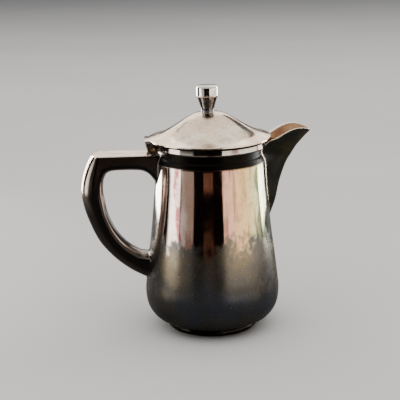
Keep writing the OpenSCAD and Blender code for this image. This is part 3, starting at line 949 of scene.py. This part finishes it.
keep(body_piece(), "jug", "silver_body", body_finish, "body_shell")
keep(foot_piece(), "jug", "silver_body", foot_silver(), "foot_ring")
keep(collar_piece(), "jug", "silver_body", collar_silver(), "collar")
spout = keep(spout_piece(), "jug", "silver_spout", spout_silver(), "spout")
spout.data.materials.append(channel_silver())
spout.data.materials.append(lip_silver())
near_half = handle_half()
far_half = mirrored(near_half, "handle_half_far")
keep(near_half, "jug", "silver_handle", handle_finish, "handle_near_half")
keep(far_half, "jug", "silver_handle", handle_finish, "handle_far_half")
near_lug = lug_piece()
far_lug = mirrored(near_lug, "hinge_lug_far_cast")
keep(near_lug, "jug", "silver_hinge", hinge_finish, "hinge_lug_near")
keep(far_lug, "jug", "silver_hinge", hinge_finish, "hinge_lug_far")
keep(pin_piece(), "jug", "brass_pin", pin_brass(), "hinge_pin")
keep(lid_piece(), "lid", "silver_lid", lid_finish, "lid_shell")
keep(bezel_piece(), "lid", "silver_lid", lid_finish, "lid_bezel")
keep(leaf_piece(), "lid", "silver_lid", leaf_silver(), "hinge_leaf")
keep(knob_piece(), "lid", "silver_knob", knob_silver(), "knob")
keep(washer_piece(), "lid", "silver_lid", lid_finish, "knob_washer")
keep(screw_piece(), "lid", "silver_hinge", hinge_finish, "knob_screw")


# ---- floor, lights and camera ---------------------------------------------------
WARM, WHITE, PEACH = (1, 0.93, 0.85), (1, 0.98, 0.96), (1, 0.72, 0.55)
PANEL_H = 0.3
CARD_DISTANCE = 0.36
GROUND_CARD_Z = 0.0004
GROUND_GREY = 0.17
CARD_GREY = 0.012
CAMERA_AT = (-0.046, -0.525, 0.2023)
CAMERA_TURN, CAMERA_DROP, CAMERA_ROLL = math.radians(4.4), math.radians(14.56), math.radians(1.0)
LENS_MM = 96.2


def around(radius, azimuth, z):
    """Point at a distance from the axis. Azimuth is in degrees from the front, -Y, towards +X."""
    a = math.radians(azimuth)
    return (math.sin(a) * radius, -math.cos(a) * radius, z)


def floor():
    """Plain pale paper."""
    bm = bmesh.new()
    bmesh.ops.create_circle(bm, cap_ends=True, segments=96, radius=6)
    plane = finish_mesh("floor", bm)
    s = Shader("floor_paper")
    grain = s.noise(0.004, detail=3)
    colour = s.ramp(s.noise(0.3, detail=2), [(0.3, (0.8, 0.79, 0.77)), (0.7, (0.84, 0.83, 0.81))])
    plane.data.materials.append(s.surface(s.add("BsdfPrincipled", {
        "Base Color": colour, "Roughness": 0.9, "Normal": s.bump(grain, 0.00005, 0.3)})))


def soft_light(name, place, facing, width, height, power, colour):
    """Rectangular light that the camera doesn't see itself."""
    light = bpy.data.lights.new(name, "AREA")
    light.shape = "RECTANGLE"
    light.size = width
    light.size_y = height
    light.energy = power
    light.color = colour
    lamp = bpy.data.objects.new(name, light)
    lamp.location = place
    lamp.rotation_euler = facing.to_track_quat("-Z", "Y").to_euler()
    lamp.visible_camera = False
    bpy.context.scene.collection.objects.link(lamp)
    return lamp


def panel(name, azimuth, distance, width, low, high, power, colour):
    """Upright light that only reflections show, as a window in a dark room would."""
    place = Vector(around(distance, azimuth, (low + high) / 2))
    facing = Vector((-place.x, -place.y, 0))
    lamp = soft_light(name, place, facing, width, high - low, power, colour)
    lamp.visible_diffuse = False


def canopy():
    """Large light above, which lights the floor and the upward faces."""
    place = Vector((0, 0.05, 1.25))
    soft_light("ceiling", place, Vector((0, 0, 0.08)) - place, 3.6, 2.9, 46, WHITE)


def world(colour, strength):
    sky = bpy.data.worlds.new("studio")
    sky.use_nodes = True
    background = sky.node_tree.nodes["Background"]
    background.inputs[0].default_value = (*colour, 1)
    background.inputs[1].default_value = strength
    bpy.context.scene.world = sky


def camera():
    lens = bpy.data.cameras.new("camera")
    lens.sensor_width = 36
    lens.lens = LENS_MM
    shot = bpy.data.objects.new("camera", lens)
    level = math.cos(CAMERA_DROP)
    ahead = Vector((math.sin(CAMERA_TURN) * level, math.cos(CAMERA_TURN) * level, -math.sin(CAMERA_DROP)))
    right = ahead.cross(Vector((0, 0, 1))).normalized()
    up = right.cross(ahead)
    x_axis = right * math.cos(CAMERA_ROLL) - up * math.sin(CAMERA_ROLL)
    y_axis = right * math.sin(CAMERA_ROLL) + up * math.cos(CAMERA_ROLL)
    turn = Matrix((x_axis, y_axis, -ahead)).transposed().to_4x4()
    shot.matrix_world = Matrix.Translation(CAMERA_AT) @ turn
    bpy.context.scene.collection.objects.link(shot)
    bpy.context.scene.camera = shot


def card(name, verts, faces, grey):
    """Dark card that only reflections see, as studio cards give silver its dark areas."""
    mesh = bpy.data.meshes.new(name)
    mesh.from_pydata(verts, [], faces)
    sheet = bpy.data.objects.new(name, mesh)
    bpy.context.scene.collection.objects.link(sheet)
    s = Shader(name)
    tone = s.ramp(s.noise(0.05, detail=2), [(0.3, (grey * 0.85,) * 3), (0.7, (grey * 1.15,) * 3)])
    mesh.materials.append(s.surface(s.add("BsdfDiffuse", {"Color": tone})))
    for ray in ("camera", "diffuse", "shadow", "transmission", "volume_scatter"):
        setattr(sheet, "visible_" + ray, False)


def dark_ground(inner, outer):
    """Ring round the foot, just above the floor."""
    steps = 72
    turns = [360 * k / steps for k in range(steps)]
    verts = [around(r, a, GROUND_CARD_Z) for r in (inner, outer) for a in turns]
    faces = [(k, (k + 1) % steps, steps + (k + 1) % steps, steps + k) for k in range(steps)]
    card("ground_card", verts, faces, GROUND_GREY)


def dark_card(name, start, end):
    """Upright card between two azimuths, as high as the panels."""
    steps = 8
    turns = [start + (end - start) * k / steps for k in range(steps + 1)]
    verts = [around(CARD_DISTANCE, a, z) for z in (0, PANEL_H) for a in turns]
    faces = [(k, k + 1, steps + 2 + k, steps + 1 + k) for k in range(steps)]
    card(name, verts, faces, CARD_GREY)


floor()
panel("right_window", 60, 0.36, 0.64, 0, PANEL_H, 1.15, WARM)
panel("right_strip", 118, 0.34, 0.16, 0, PANEL_H, 1.5, WHITE)
panel("left_strip", -137, 0.34, 0.18, 0, PANEL_H, 2.2, WHITE)
panel("left_window", -79, 0.34, 0.15, 0, PANEL_H, 0.6, WHITE)
panel("front_glow", -10, 0.35, 0.11, 0, 0.028, 0.0045, PEACH)
panel("back_glow", 180, 1.3, 1.1, 0.33, 1.2, 7, WARM)
canopy()
dark_ground(0.0245, 0.34)
dark_card("front_card", -38, 17)
dark_card("side_card", -122, -95)
world((0.9, 0.93, 1.0), 0.12)
camera()
